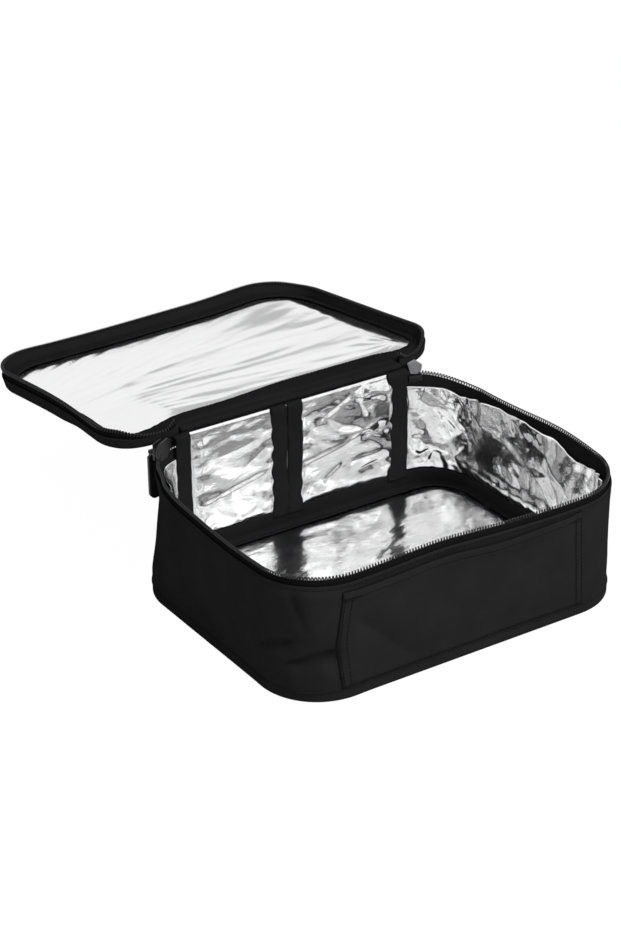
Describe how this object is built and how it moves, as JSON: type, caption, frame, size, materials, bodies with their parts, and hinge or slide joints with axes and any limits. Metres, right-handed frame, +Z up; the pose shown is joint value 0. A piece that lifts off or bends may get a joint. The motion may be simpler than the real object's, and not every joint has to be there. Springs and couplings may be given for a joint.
{
  "type": "insulated lunch bag",
  "caption": "Soft black box-shaped bag with a crinkled foil lining, a zipped lid lying open on its back hinge, and a front patch pocket.",
  "frame": {"origin": "on the ground under the middle of the bag's body", "axes": "+X along the lid's hinge, +Y towards the back where the open lid lies, -Y the front with the pocket, +Z up"},
  "size_m": [0.2626, 0.4106, 0.1109],
  "materials": {
    "outer_fabric": "close plain-weave black polyester with a soft sheen",
    "binding_tape": "ribbed black nylon binding tape, folded over the edge",
    "zip_tape": "black herringbone zip tape",
    "zip_coil": "black nylon coil with a fine highlight on each turn",
    "foam": "white closed-cell foam sheet, hidden inside",
    "foil_lining": "crinkled aluminised film, mirror bright",
    "webbing": "flat black webbing with a ribbed face",
    "slider_metal": "die-cast slider in satin grey",
    "pull_rubber": "moulded black rubber tab"
  },
  "bodies": {
    "bag_body": {"bottom_panel": "outer_fabric", "wall_outer": "outer_fabric", "back_panel": "outer_fabric", "bottom_seam": "binding_tape", "front_pocket": "outer_fabric", "bottom_foam": "foam", "wall_foam": "foam", "back_foam": "foam", "floor_lining": "foil_lining", "wall_lining": "foil_lining", "back_lining_left": "foil_lining", "back_lining_right": "foil_lining", "floor_binding": "binding_tape", "binding_left": "binding_tape", "binding_middle_left": "binding_tape", "binding_middle_right": "binding_tape", "binding_right": "binding_tape", "body_zip_tape": "zip_tape", "body_zip_coil": "zip_coil", "body_rim_facing": "zip_tape", "hinge_binding": "binding_tape"},
    "lid": {"lid_panel": "outer_fabric", "lid_wall": "outer_fabric", "lid_foam": "foam", "lid_lining": "foil_lining", "lid_binding": "binding_tape", "lid_zip_tape": "zip_tape", "lid_zip_coil": "zip_coil", "lid_rim_facing": "zip_tape", "carry_handle": "webbing"},
    "slider_left": {"slider_left": "slider_metal"},
    "slider_right": {"slider_right": "slider_metal"},
    "pull_left": {"pull_left": "pull_rubber"},
    "pull_right": {"pull_right": "pull_rubber"}
  },
  "joints": [
    {"name": "lid_hinge", "type": "hinge", "parent": "bag_body", "child": "lid", "pos_m": [0, 0.1025, 0.1], "axis": [1, 0, 0], "range_deg": [0, 187]},
    {"name": "slider_left_run", "type": "hinge", "parent": "bag_body", "child": "slider_left", "pos_m": [-0.088, 0.0605, 0.08815], "axis": [0, 0, 1], "range_deg": [0, 62]},
    {"name": "slider_right_run", "type": "hinge", "parent": "bag_body", "child": "slider_right", "pos_m": [0.088, 0.0605, 0.08815], "axis": [0, 0, -1], "range_deg": [0, 75]},
    {"name": "pull_left_swing", "type": "hinge", "parent": "slider_left", "child": "pull_left", "pos_m": [-0.10941, 0.10076, 0.08815], "axis": [0.8829, 0.4695, 0], "range_deg": [0, 80]},
    {"name": "pull_right_swing", "type": "hinge", "parent": "slider_right", "child": "pull_right", "pos_m": [0.0998, 0.10455, 0.08815], "axis": [0.9659, -0.2588, 0], "range_deg": [0, 80]}
  ]
}
